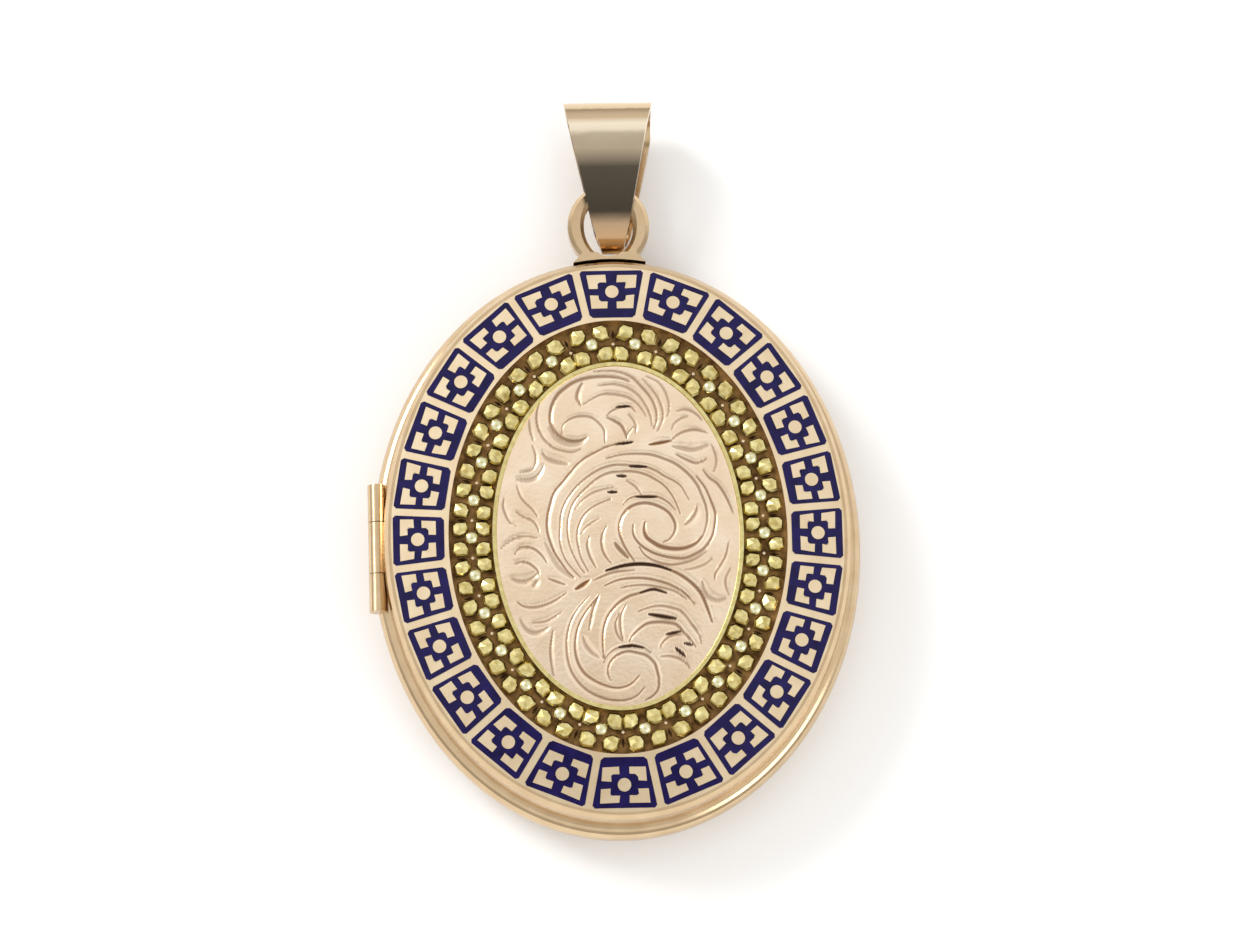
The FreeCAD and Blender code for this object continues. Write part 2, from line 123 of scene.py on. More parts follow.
def mixed(tree, attribute, first, second):
    """Colour that goes from first to second with a named attribute of the mesh."""
    source = tree.nodes.new("ShaderNodeAttribute")
    source.attribute_name = attribute
    node = tree.nodes.new("ShaderNodeMix")
    node.data_type = "RGBA"
    tree.links.new(source.outputs["Fac"], node.inputs["Factor"])
    for socket, value in ((node.inputs[6], first), (node.inputs[7], second)):
        if isinstance(value, tuple):
            socket.default_value = (*value, 1)
        else:
            tree.links.new(value, socket)
    return node.outputs[2]


rim_gold = metal("rim_gold", (0.70, 0.53, 0.33), (0.62, 0.45, 0.27), 0.2)
plate_gold = metal("plate_gold", (0.88, 0.72, 0.50), (0.80, 0.63, 0.41), 0.3, bump=0.25)
petal_gold = metal("petal_gold", (0.86, 0.76, 0.36), (0.66, 0.55, 0.22), 0.22, 3000)
bead_gold = metal("bead_gold", (0.85, 0.82, 0.55), (0.75, 0.70, 0.42), 0.25, 3000)


def bail_material():
    """Polished gold, with bands of painted reflection on the front: a dark band of painted reflection on the
    lower part and a cream band of painted highlight above it.
    """
    material, tree, shader = value_nodes("bail_gold_painted_reflection")
    shader.inputs["Metallic"].default_value = 1.0
    shader.inputs["Roughness"].default_value = 0.18
    coords = tree.nodes.new("ShaderNodeTexCoord")
    split = tree.nodes.new("ShaderNodeSeparateXYZ")
    tree.links.new(coords.outputs["Object"], split.inputs["Vector"])

    def scaled(source, low, high):
        node = tree.nodes.new("ShaderNodeMapRange")
        node.inputs["From Min"].default_value = low
        node.inputs["From Max"].default_value = high
        tree.links.new(source, node.inputs["Value"])
        return node.outputs["Result"]

    # The bands up the front of the bail are painted reflection: dark for the reflected dark room, cream for a
    # painted highlight of the white tent.
    painted_reflection_bands = ramp(tree, scaled(split.outputs["Y"], 0.0165, 0.025),
                 [(0.0, (0.70, 0.42, 0.20)), (0.16, (0.52, 0.36, 0.22)), (0.24, (0.09, 0.075, 0.055)),
                  (0.52, (0.17, 0.145, 0.11)), (0.64, (0.85, 0.72, 0.54)), (0.80, (0.93, 0.82, 0.64)),
                  (0.84, (0.66, 0.50, 0.32)), (1.0, (0.72, 0.56, 0.37))])
    plain = ramp(tree, noise(tree, 700), [(0.3, (0.62, 0.45, 0.27)), (0.7, (0.78, 0.60, 0.38))])
    node = tree.nodes.new("ShaderNodeMix")
    node.data_type = "RGBA"
    tree.links.new(scaled(split.outputs["Z"], 0.0030, 0.0036), node.inputs["Factor"])
    tree.links.new(plain, node.inputs[6])
    tree.links.new(painted_reflection_bands, node.inputs[7])
    tree.links.new(node.outputs[2], shader.inputs["Base Color"])
    relief = tree.nodes.new("ShaderNodeBump")
    relief.inputs["Strength"].default_value = 0.2
    relief.inputs["Distance"].default_value = 0.00002
    tree.links.new(noise(tree, 2500), relief.inputs["Height"])
    tree.links.new(relief.outputs["Normal"], shader.inputs["Normal"])
    return material


bail_gold_painted_reflection = bail_material()
inner_gold = metal("inner_gold", (0.80, 0.60, 0.36), (0.70, 0.50, 0.28), 0.32)
# The dark brown of the flower channel is painted shade in the recess.
recess_painted_shade = metal("recess_painted_shade", (0.30, 0.17, 0.06), (0.07, 0.035, 0.012), 0.45, 1800, 0.4)


def petal_material():
    material, tree, shader = value_nodes("petal_painted_shade")
    shader.inputs["Metallic"].default_value = 1.0
    shader.inputs["Roughness"].default_value = 0.24
    bright = ramp(tree, noise(tree, 2500), [(0.3, (0.50, 0.38, 0.12)), (0.7, (0.88, 0.78, 0.38))])
    # Petals go dark brown towards their foot: painted shade in the recess around each petal, bright gold at the
    # top.
    tree.links.new(mixed(tree, "rise", (0.10, 0.05, 0.015), bright), shader.inputs["Base Color"])
    return material


# Near-black for the bars between the flowers: painted shade standing in for pits.
pit_painted_shade = metal("pit_painted_shade", (0.05, 0.025, 0.01), (0.02, 0.01, 0.005), 0.5, 3000)


def enamel_material():
    material, tree, shader = value_nodes("navy_enamel")
    shader.inputs["Roughness"].default_value = 0.12
    shader.inputs["Specular IOR Level"].default_value = 0.22
    colour = ramp(tree, noise(tree, 1500), [(0.3, (0.004, 0.002, 0.035)), (0.72, (0.010, 0.006, 0.07))])
    tree.links.new(colour, shader.inputs["Base Color"])
    return material


def plain_material(name, light, dark, roughness, alpha=1.0):
    material, tree, shader = value_nodes(name)
    shader.inputs["Roughness"].default_value = roughness
    shader.inputs["Alpha"].default_value = alpha
    colour = ramp(tree, noise(tree, 1200), [(0.3, dark), (0.7, light)])
    tree.links.new(colour, shader.inputs["Base Color"])
    return material


navy = enamel_material()
crystal = plain_material("crystal", (0.98, 0.99, 0.99), (0.95, 0.97, 0.97), 0.05, 0.12)
card = plain_material("card", (0.83, 0.79, 0.70), (0.76, 0.72, 0.62), 0.8)


def plaque_material():
    material, tree, shader = value_nodes("plaque_gold")
    shader.inputs["Metallic"].default_value = 1.0
    shader.inputs["Roughness"].default_value = 0.27
    ground = ramp(tree, noise(tree, 500), [(0.3, (0.88, 0.68, 0.48)), (0.7, (0.97, 0.81, 0.63))])
    # Grooves of the strokes are darkened as painted shade, and the dark dashes are deeper painted shade.
    painted_groove_shade = mixed(tree, "cut", ground, (0.24, 0.11, 0.045))
    painted_dash_shade = mixed(tree, "dash", painted_groove_shade, (0.05, 0.025, 0.015))
    tree.links.new(painted_dash_shade, shader.inputs["Base Color"])
    relief = tree.nodes.new("ShaderNodeBump")
    relief.inputs["Strength"].default_value = 0.35
    relief.inputs["Distance"].default_value = 0.00003
    tree.links.new(noise(tree, 4500, 2), relief.inputs["Height"])
    tree.links.new(relief.outputs["Normal"], shader.inputs["Normal"])
    return material


plaque_gold = plaque_material()

NODE_MATERIALS = {
    "back_shell": rim_gold,
    "closing_lip": inner_gold,
    "catch_bead": inner_gold,
    "back_liner": inner_gold,
    "back_photo_frame": inner_gold,
    "back_photo_glass": crystal,
    "back_photo_card": card,
    "hinge_end_knuckles": rim_gold,
    "hinge_pin": rim_gold,
    "ring_saddle": rim_gold,
    "suspension_ring": rim_gold,
    "front_shell": rim_gold,
    "front_liner": inner_gold,
    "front_photo_frame": inner_gold,
    "front_photo_glass": crystal,
    "front_photo_card": card,
    "hinge_centre_knuckle": rim_gold,
    "enamel_plate": plate_gold,
    "enamel_cells": navy,
    "flower_channel": recess_painted_shade,
    "flower_petals": petal_gold,
    "flower_centres": bead_gold,
    "plaque_collet": petal_gold,
    "centre_plaque": plaque_gold,
    "bail": bail_gold_painted_reflection,
}
for node_name, node_material in NODE_MATERIALS.items():
    nodes[node_name].data.materials.clear()
    nodes[node_name].data.materials.append(node_material)


# ---------------------------------------------------------------- mesh helpers
def piece(name, points, faces, body, material, slot, smooth=False):
    """Mesh piece from points in mm that rides on a body."""
    mesh = bpy.data.meshes.new(name)
    mesh.from_pydata([tuple(p[i] * MM for i in range(3)) for p in points], [], faces)
    mesh.materials.append(material)
    for face in mesh.polygons:
        face.use_smooth = smooth
    item = bpy.data.objects.new(name, mesh)
    bpy.context.scene.collection.objects.link(item)
    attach(item, body)
    return item


# ---------------------------------------------------------------- engraved plaque
PLAQUE_HALF_WIDTH = 6.55
PLAQUE_EDGE = 5.66
PLAQUE_CROWN = 0.22
PLAQUE_FOOT = 5.24

# The cut is steep on one side and reaches twice as far on the other.
CUT_REACH = 0.5
CUT_LEAST_DEPTH = 0.03
CUT_DEPTH_SHARE = 0.13
TONE_REACH = 0.33
TONE_LEAST = 0.03
SEARCH_CELL = 0.25
STROKES = []


def stroke(tone, width, *points):
    """One cut: tone is how strongly its groove is darkened with painted shade (above 1 it is also a dark dash
    of painted shade), width in mm, points in mm (X right, Y up).
    """
    STROKES.append((tone, width, points))


# Top scroll, middle scrolls, leaves at the right.
stroke(0.8, 0.34, (-1.6, 5.4), (-2.0, 5.25), (-2.6, 5.3), (-3.15, 5.65), (-3.45, 6.15), (-3.5, 6.65),
       (-3.4, 7.2), (-3.1, 7.8), (-2.6, 8.25), (-2.1, 8.55), (-1.4, 8.75), (-0.5, 8.8), (0.3, 8.7),
       (0.8, 8.5))
stroke(0.7, 0.2, (-4.0, 7.6), (-4.2, 7.0), (-4.25, 6.45), (-4.15, 5.9), (-3.85, 5.35), (-3.4, 4.9),
       (-2.9, 4.7), (-2.35, 4.6), (-1.9, 4.75))
stroke(0.7, 0.2, (-2.9, 5.65), (-2.85, 6.05), (-2.6, 6.35), (-2.2, 6.55), (-1.7, 6.6), (-1.25, 6.5),
       (-0.9, 6.2), (-0.65, 5.85), (-0.6, 5.5), (-0.6, 5.1))
stroke(0.4, 0.5, (-3.6, 6.0), (-3.2, 5.4), (-2.6, 5.1), (-2.0, 5.1), (-1.6, 5.35))
stroke(0.6, 0.18, (1.7, 8.8), (2.3, 8.5), (2.65, 8.05), (2.85, 7.5), (2.9, 7.0), (2.8, 6.5))
stroke(0.6, 0.2, (1.5, 8.65), (2.0, 8.05), (2.35, 7.5), (2.55, 6.8), (2.5, 6.25), (2.25, 5.7))
stroke(0.7, 0.24, (-1.1, 9.1), (0, 9.1), (0.85, 8.8), (1.45, 8.2), (1.95, 7.55), (2.2, 6.85),
       (2.2, 6.25), (2.05, 5.85))
stroke(0.6, 0.22, (-0.9, 8.3), (0, 8.35), (0.7, 8.15), (1.3, 7.7), (1.7, 7.05), (1.9, 6.5), (1.95, 6.0))
stroke(0.6, 0.22, (-1.7, 7.25), (-1.25, 7.55), (-0.7, 7.8), (-0.1, 7.8), (0.6, 7.65), (1.1, 7.35),
       (1.4, 7.0), (1.65, 6.55))
stroke(0.7, 0.3, (-1.75, 8.45), (-1.95, 8.1), (-2.05, 7.65), (-1.85, 7.2))
stroke(0.7, 0.2, (-0.45, 6.6), (-0.2, 6.85), (0.25, 7.05), (0.8, 7.1), (1.1, 6.8))
stroke(0.8, 0.26, (-0.45, 6.5), (-0.05, 6.3), (0.3, 6.05), (0.5, 5.65), (0.57, 5.35))
stroke(0.6, 0.18, (0.57, 5.35), (0.75, 5.7), (0.97, 5.95))
stroke(0.6, 0.18, (0.7, 6.65), (0.95, 6.35), (1.08, 6.0), (1.05, 5.6))
stroke(1.5, 0.2, (0.1, 7.08), (0.8, 7.12))
stroke(0.8, 0.24, (0, 5.0), (-0.5, 4.87), (-1.0, 4.65), (-1.65, 4.3), (-2.1, 3.95), (-2.5, 3.5),
       (-3.0, 2.9), (-3.4, 2.4), (-3.65, 1.65), (-3.8, 0.95), (-3.8, 0.25), (-3.65, -0.35),
       (-3.4, -1.0), (-3.05, -1.55), (-2.75, -2.0), (-2.45, -2.3))
stroke(1.5, 0.2, (0.9, 5.1), (0, 5.0))
stroke(0.4, 0.45, (-3.95, -0.35), (-3.6, -1.1), (-3.2, -1.75), (-2.5, -2.35))
stroke(0.7, 0.24, (-0.55, 4.2), (0.2, 4.4), (1.05, 4.45), (1.8, 4.4), (2.45, 4.2), (3.2, 3.85),
       (3.85, 3.3), (4.3, 2.7), (4.55, 2.1), (4.75, 1.5), (4.8, 0.9), (4.7, 0.35), (4.5, -0.15),
       (4.1, -0.55))
stroke(0.9, 0.42, (4.5, -0.15), (4.1, -0.55), (3.55, -0.78), (2.95, -0.82), (2.3, -0.7), (1.85, -0.45),
       (1.5, -0.15), (1.4, 0.25), (1.45, 0.65))
stroke(0.7, 0.22, (-2.1, -2.3), (-2.5, -1.85), (-2.85, -1.35), (-3.05, -0.8), (-3.15, -0.2),
       (-3.1, 0.45), (-3.05, 1.1), (-2.85, 1.7), (-2.45, 2.35), (-1.95, 2.9), (-1.3, 3.4), (-0.7, 3.7),
       (0, 3.85), (0.8, 3.8), (1.6, 3.7), (2.1, 3.5), (2.55, 3.2), (3.1, 2.9), (3.45, 2.6), (3.7, 2.15),
       (3.85, 1.85))
stroke(1.6, 0.24, (0.7, 3.77), (1.6, 3.72))
stroke(0.7, 0.22, (-1.85, -2.1), (-2.1, -1.75), (-2.4, -1.15), (-2.6, -0.6), (-2.7, 0), (-2.7, 0.6),
       (-2.6, 1.15), (-2.4, 1.7), (-2.05, 2.2), (-1.55, 2.7), (-1.0, 3.15), (-0.45, 3.4), (0.2, 3.47),
       (0.85, 3.47), (1.45, 3.33), (2.0, 3.05), (2.55, 2.65), (2.95, 2.1), (3.2, 1.55), (3.35, 1.1))
stroke(0.7, 0.22, (-1.65, -2.0), (-2.0, -1.3), (-2.15, -0.65), (-2.2, -0.1), (-2.1, 0.5), (-1.8, 1.1),
       (-1.3, 1.55), (-0.8, 1.8), (-0.35, 1.95))
stroke(0.6, 0.2, (-2.3, 1.4), (-1.9, 1.9), (-1.35, 2.3), (-0.75, 2.5), (-0.2, 2.6))
stroke(1.6, 0.22, (-0.5, 2.35), (0, 2.33))
stroke(0.6, 0.2, (-2.0, 0.05), (-1.75, 0.4), (-1.35, 0.7), (-1.0, 0.9))
stroke(0.7, 0.22, (-1.6, -0.1), (-1.7, -0.6), (-1.55, -1.2), (-1.25, -1.8))
stroke(0.7, 0.22, (-0.65, 0.45), (-0.85, 0.1), (-0.93, -0.4), (-0.85, -0.9), (-0.65, -1.3),
       (-0.4, -1.6))
stroke(0.8, 0.4, (-0.2, -0.45), (0, -0.75), (0.5, -1.3))
stroke(0.8, 0.28, (0.8, -1.45), (0.45, -0.9), (0.17, -0.3), (0.06, 0.3), (0.15, 0.8), (0.4, 1.25),
       (0.75, 1.55), (1.2, 1.7), (1.65, 1.7), (2.15, 1.55), (2.65, 1.25), (2.95, 0.85), (3.07, 0.4),
       (2.95, 0), (2.7, -0.3), (2.4, -0.45))
stroke(0.7, 0.2, (0.3, 1.65), (0.6, 1.95), (1.0, 2.08), (1.6, 2.1), (2.15, 2.05), (2.7, 1.75),
       (3.1, 1.3))
stroke(1.5, 0.2, (1.0, 2.06), (2.1, 2.04))
stroke(0.8, 0.28, (0.8, 0.55), (0.8, 0), (1.05, -0.45), (1.45, -0.8), (2.0, -1.1), (2.75, -1.3),
       (3.5, -1.35), (4.15, -1.1), (4.65, -0.75), (5.05, -0.15), (5.2, 0.45), (5.25, 1.1), (5.05, 1.75),
       (4.75, 2.5), (4.3, 3.15))
stroke(0.7, 0.22, (1.1, -0.7), (1.4, -1.15), (1.95, -1.5), (2.65, -1.7), (3.3, -1.65), (4.0, -1.45),
       (4.7, -1.0))
stroke(0.6, 0.2, (3.5, -2.0), (4.05, -1.9), (4.6, -1.7), (5.0, -1.4))
stroke(0.6, 0.4, (4.25, 1.5), (4.15, 1.15), (3.9, 0.8), (3.6, 0.5))
stroke(0.6, 0.2, (0.5, 2.95), (0.9, 2.7), (1.15, 2.4), (1.27, 2.2))
stroke(1.5, 0.2, (0, 3.25), (0.5, 3.2))
# Bottom scroll, leaves at the left, leaves at the right edge.
stroke(1.5, 0.3, (-0.7, -1.97), (-0.1, -1.8), (0.6, -1.67), (1.3, -1.65), (2.05, -1.76), (2.75, -2.0))
stroke(0.9, 0.3, (2.05, -1.76), (2.75, -2.0), (3.4, -2.35), (4.0, -2.85), (4.4, -3.4), (4.7, -4.2),
       (4.9, -4.85))
stroke(0.7, 0.22, (-1.4, -2.5), (-0.9, -2.28), (-0.4, -2.1), (0.1, -2.03), (0.8, -1.98))
stroke(0.8, 0.24, (-0.8, -2.8), (-0.15, -2.53), (0.55, -2.42), (1.3, -2.43), (2.05, -2.58),
       (2.8, -2.85), (3.5, -3.3), (4.0, -3.9))
stroke(0.7, 0.2, (0.05, -2.95), (0.5, -2.85), (1.3, -2.8), (2.25, -2.95), (3.0, -3.2), (3.55, -3.6))
stroke(0.8, 0.26, (-0.95, -6.75), (-0.97, -6.1), (-0.95, -5.5), (-0.85, -4.95), (-0.65, -4.45),
       (-0.35, -4.05), (0, -3.7), (0.5, -3.4), (1.0, -3.25), (1.8, -3.05), (2.5, -3.25))
stroke(1.5, 0.2, (1.1, -3.22), (1.8, -3.05), (2.5, -3.25))
stroke(0.8, 0.26, (0.9, -7.75), (0.55, -8.1), (0.15, -8.3), (-0.4, -8.35), (-1.05, -8.15),
       (-1.6, -7.85), (-2.05, -7.45), (-2.35, -6.85), (-2.45, -6.2), (-2.4, -5.55), (-2.25, -5.0),
       (-1.95, -4.4), (-1.55, -3.85), (-1.1, -3.3))
stroke(0.7, 0.24, (1.15, -8.4), (0.7, -8.85), (0.05, -9.05), (-0.7, -9.0), (-1.4, -8.75), (-2.0, -8.35),
       (-2.5, -7.75), (-2.8, -7.05), (-2.9, -6.2), (-2.85, -5.4), (-2.6, -4.6), (-2.15, -3.9),
       (-1.65, -3.35))
stroke(0.8, 0.26, (-0.6, -7.95), (-0.73, -7.6), (-0.7, -7.2), (-0.5, -6.85), (-0.15, -6.55),
       (0.35, -6.4), (0.9, -6.5), (1.35, -6.65), (1.75, -7.05), (1.9, -7.5), (1.97, -8.0), (1.9, -8.5),
       (1.6, -8.85), (1.25, -9.05))
stroke(0.7, 0.2, (-0.95, -7.0), (-0.8, -6.7), (-0.45, -6.35), (0, -6.15), (0.6, -6.1), (1.15, -6.2),
       (1.6, -6.5))
stroke(1.5, 0.24, (-0.1, -6.16), (0.6, -6.1), (1.2, -6.22))
stroke(0.7, 0.22, (-1.15, -3.4), (-1.45, -4.0), (-1.6, -4.6), (-1.7, -5.2))
stroke(0.5, 0.4, (-2.05, -5.55), (-1.9, -6.0), (-1.6, -6.4), (-1.2, -6.7))
stroke(0.7, 0.2, (-0.1, -4.35), (-0.27, -4.8), (-0.27, -5.2), (-0.15, -5.55), (0.05, -5.85))
stroke(0.7, 0.2, (0.3, -3.85), (0.05, -4.3), (-0.03, -4.8), (0, -5.3), (0.12, -5.8))
stroke(0.8, 0.28, (0.45, -5.85), (0.67, -5.5), (1.05, -5.15), (1.45, -4.9), (2.0, -4.83), (2.5, -4.87),
       (3.0, -5.0), (3.4, -5.45), (3.75, -5.85), (4.0, -6.2))
stroke(1.6, 0.32, (1.55, -4.4), (2.1, -4.5), (2.95, -4.65))
stroke(0.7, 0.22, (0.95, -4.25), (1.5, -4.05), (2.1, -3.95), (2.7, -4.05), (3.3, -4.3), (3.9, -5.1),
       (4.2, -5.6), (4.3, -6.0))
stroke(0.7, 0.22, (2.1, -6.25), (2.2, -6.0), (2.5, -5.7), (2.85, -5.55), (3.25, -5.55))
stroke(1.5, 0.2, (2.45, -5.5), (3.2, -5.35))
stroke(0.7, 0.22, (2.1, -6.7), (2.6, -6.7), (3.1, -6.85), (3.45, -7.1), (3.6, -7.35))
stroke(1.5, 0.26, (2.9, -6.25), (3.4, -6.7))
stroke(1.4, 0.2, (3.4, -6.0), (3.8, -6.1))
stroke(1.0, 0.4, (-2.35, -2.95), (-1.6, -2.5))
stroke(1.0, 0.3, (1.8, 4.95), (2.95, 5.15))
stroke(0.6, 0.2, (-4.65, 6.45), (-4.6, 5.8), (-4.45, 5.3))
stroke(0.5, 0.4, (-4.0, 4.6), (-3.75, 4.3), (-3.3, 4.1), (-2.65, 3.95))
stroke(0.5, 0.4, (-5.4, 3.15), (-4.8, 3.1), (-4.35, 3.25), (-4.05, 3.6), (-3.95, 3.85))
stroke(0.6, 0.2, (-4.5, 5.0), (-4.35, 4.45), (-4.4, 3.95), (-4.65, 3.65), (-5.2, 3.55))
stroke(0.6, 0.2, (-5.4, 2.8), (-5.2, 2.2), (-4.9, 1.8), (-4.6, 1.5), (-4.3, 1.05))
stroke(0.6, 0.2, (-6.1, 2.1), (-6.15, 1.65), (-6.0, 1.15), (-5.8, 0.8), (-5.5, 0.65))
stroke(0.6, 0.2, (-5.45, 1.35), (-5.1, 1.1), (-4.6, 0.85), (-4.35, 0.5), (-4.25, 0.2))
stroke(0.6, 0.2, (-6.3, -0.6), (-6.0, -0.35), (-5.5, -0.1), (-4.95, 0), (-4.35, -0.1))
stroke(0.7, 0.22, (-5.6, -1.0), (-5.3, -0.65), (-4.85, -0.6), (-4.45, -0.75), (-4.1, -1.1),
       (-3.85, -1.5))
stroke(0.7, 0.22, (-5.6, -1.45), (-5.2, -1.4), (-4.8, -1.5), (-4.4, -1.85), (-4.3, -2.1))
stroke(0.5, 0.4, (-5.8, -2.3), (-5.4, -2.45), (-4.95, -2.45), (-4.5, -2.2), (-4.4, -2.05))
stroke(0.6, 0.3, (-4.4, -2.4), (-4.65, -2.75))
stroke(0.7, 0.22, (-3.8, -2.35), (-3.3, -2.55), (-2.9, -2.7))
stroke(0.7, 0.22, (-5.5, -3.6), (-5.1, -3.85), (-4.5, -3.9), (-3.9, -3.75), (-3.35, -3.5),
       (-2.85, -3.15))
stroke(0.6, 0.2, (-4.7, -4.75), (-4.05, -4.7), (-3.6, -4.5), (-3.15, -4.2))
stroke(0.5, 0.4, (-5.35, -4.6), (-5.1, -5.05), (-4.7, -5.3), (-4.2, -5.2), (-3.85, -5.0))
stroke(0.7, 0.22, (-3.65, -5.2), (-3.75, -5.8), (-3.8, -6.35), (-3.75, -7.0), (-3.65, -7.65))
stroke(0.6, 0.22, (3.3, 6.8), (3.7, 6.9), (4.1, 6.8), (4.45, 6.55), (4.65, 6.3))
stroke(0.7, 0.24, (3.0, 5.2), (3.35, 5.5), (3.8, 5.7), (4.3, 5.75), (4.9, 5.6))
stroke(0.5, 0.4, (3.05, 4.85), (3.5, 4.75), (4.05, 4.65), (4.6, 4.75), (4.95, 4.9))
stroke(0.7, 0.22, (3.2, 4.4), (3.75, 4.1), (4.3, 3.9), (4.85, 4.1))
stroke(0.6, 0.2, (3.0, 5.8), (3.2, 6.15), (3.55, 6.4), (3.9, 6.5))
stroke(0.6, 0.2, (5.15, 4.9), (5.35, 4.3), (5.35, 3.8), (5.2, 3.4))
stroke(0.7, 0.24, (4.65, 3.5), (5.0, 3.05), (5.4, 2.75), (5.75, 2.2), (6.0, 1.65), (6.2, 1.1))
stroke(0.5, 0.4, (4.4, -2.6), (4.5, -3.1), (4.75, -3.5), (5.25, -3.7), (5.65, -3.6))
stroke(0.7, 0.22, (5.9, -0.5), (5.75, -1.15), (5.45, -1.7), (5.15, -2.2), (5.1, -2.55))
stroke(0.6, 0.2, (5.95, -1.95), (5.7, -2.45), (5.7, -2.95), (5.85, -3.4))


def smooth_line(points, step=0.05):
    """Points about a step apart along a smooth curve through the given ones."""
    line = [Vector(p) for p in points]
    if len(line) < 3:
        count = max(2, int((line[-1] - line[0]).length / step))
        return [line[0].lerp(line[-1], i / count) for i in range(count + 1)]
    line = [2 * line[0] - line[1]] + line + [2 * line[-1] - line[-2]]
    result = []
    for a, b, c, d in zip(line, line[1:], line[2:], line[3:]):
        count = max(1, int((c - b).length / step))
        for i in range(count):
            t = i / count
            result.append(0.5 * (2 * b + (c - a) * t + (2 * a - 5 * b + 4 * c - d) * t * t
                                 + (3 * b - a - 3 * c + d) * t ** 3))
    return result + [line[-2]]


def engraved_plaque():
    """Domed plaque whose surface is lowered along each stroke."""
    rings = 150
    spokes = 480
    grid = {}
    for tone, width, points in STROKES:
        line = smooth_line(points)
        for i, place in enumerate(line):
            along = i / (len(line) - 1)
            swell = math.sin(math.pi * min(1, max(0, along * 0.9 + 0.05))) ** 0.5
            nearby = line[min(i + 1, len(line) - 1)] - line[max(i - 1, 0)]
            side = Vector((-nearby.y, nearby.x)).normalized()
            key = (int(place.x // SEARCH_CELL), int(place.y // SEARCH_CELL))
            for dx in (-1, 0, 1):
                for dy in (-1, 0, 1):
                    spot = (key[0] + dx, key[1] + dy)
                    grid.setdefault(spot, []).append((place, side, width * swell, tone))

    points, faces, cuts, dashes = [], [], [], []

    def add(x, y):
        share = math.hypot(x / PLAQUE_HALF_WIDTH, y / (PLAQUE_HALF_WIDTH + ELONGATION))
        height = PLAQUE_EDGE + PLAQUE_CROWN * (1 - share ** 2)
        cut = dash = depth = 0.0
        for place, side, width, tone in grid.get((int(x // SEARCH_CELL), int(y // SEARCH_CELL)), ()):
            gap_x, gap_y = x - place.x, y - place.y
            gap = math.hypot(gap_x, gap_y)
            across = gap_x * side.x + gap_y * side.y
            reach = CUT_REACH * width * (2 if across > 0 else 1)
            if gap < reach:
                depth = max(depth, (CUT_LEAST_DEPTH + CUT_DEPTH_SHARE * width) * (1 - gap / reach))
            # cut and dash hold the strength of the painted shade along each groove.
            edge = 1 - gap / (TONE_REACH * width + TONE_LEAST)
            if edge > 0:
                cut = max(cut, min(1, edge * 2) * min(1, tone))
                if tone > 1:
                    dash = max(dash, min(1, edge * 3))
        points.append((x, y, height - depth * min(1, (1 - share) * 8)))
        cuts.append(cut)
        dashes.append(dash)

    add(0, 0)
    for r in range(1, rings + 1):
        for s in range(spokes):
            turn = 2 * math.pi * s / spokes
            edge = oval_point(PLAQUE_HALF_WIDTH, turn)
            add(edge.x * r / rings, edge.y * r / rings)
    for s in range(spokes):
        edge = oval_point(PLAQUE_HALF_WIDTH, 2 * math.pi * s / spokes)
        points.append((edge.x, edge.y, PLAQUE_FOOT))
        cuts.append(0.0)
        dashes.append(0.0)
    for s in range(spokes):
        t = (s + 1) % spokes
        faces.append((0, 1 + t, 1 + s))
        for r in range(rings):
            a = 1 + r * spokes
            faces.append((a + s, a + t, a + spokes + t, a + spokes + s))
    last = 1 + rings * spokes
    faces.append(tuple(last + s for s in range(spokes)))
    item = piece("plaque_engraved", points, faces, "front_cover", plaque_gold, "engraved_gold", True)
    for label, values in (("cut", cuts), ("dash", dashes)):
        item.data.attributes.new(label, "FLOAT", "POINT").data.foreach_set("value", values)
    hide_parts("centre_plaque")


engraved_plaque()


# ---------------------------------------------------------------- flower ring
# One petal seen from its flower's middle, in mm: along the ring, then outward.
PETAL = ((0.26, 0.30), (0.62, 0.14), (1.05, 0.22), (1.04, 0.84), (0.82, 1.06), (0.24, 1.02), (0.14, 0.62))
PETAL_MIDDLE = (0.60, 0.60)
CHANNEL_FLOOR = 5.18
PETAL_SHOULDER = 5.52
PETAL_PEAK = 5.62
PETAL_ROUGHNESS = 0.015
PETAL_LEVELS = ((CHANNEL_FLOOR, 1.0), (PETAL_SHOULDER - 0.12, 1.0), (PETAL_SHOULDER, 0.78))


def flower_frames():
    """Middle, outward and sideways directions and pitch of each flower."""
    for i in range(FLOWERS):
        turn = station(i + 0.5, FLOWERS, FLOWER_CROWDING)
        ahead = station(i + 1, FLOWERS, FLOWER_CROWDING)
        behind = station(i, FLOWERS, FLOWER_CROWDING)
        pitch = (along_oval(FLOWER_LINE, ahead)[0] - along_oval(FLOWER_LINE, behind)[0]).length
        middle, outward = along_oval(FLOWER_LINE, turn)
        yield middle, outward, Vector((outward.y, -outward.x, 0)), pitch


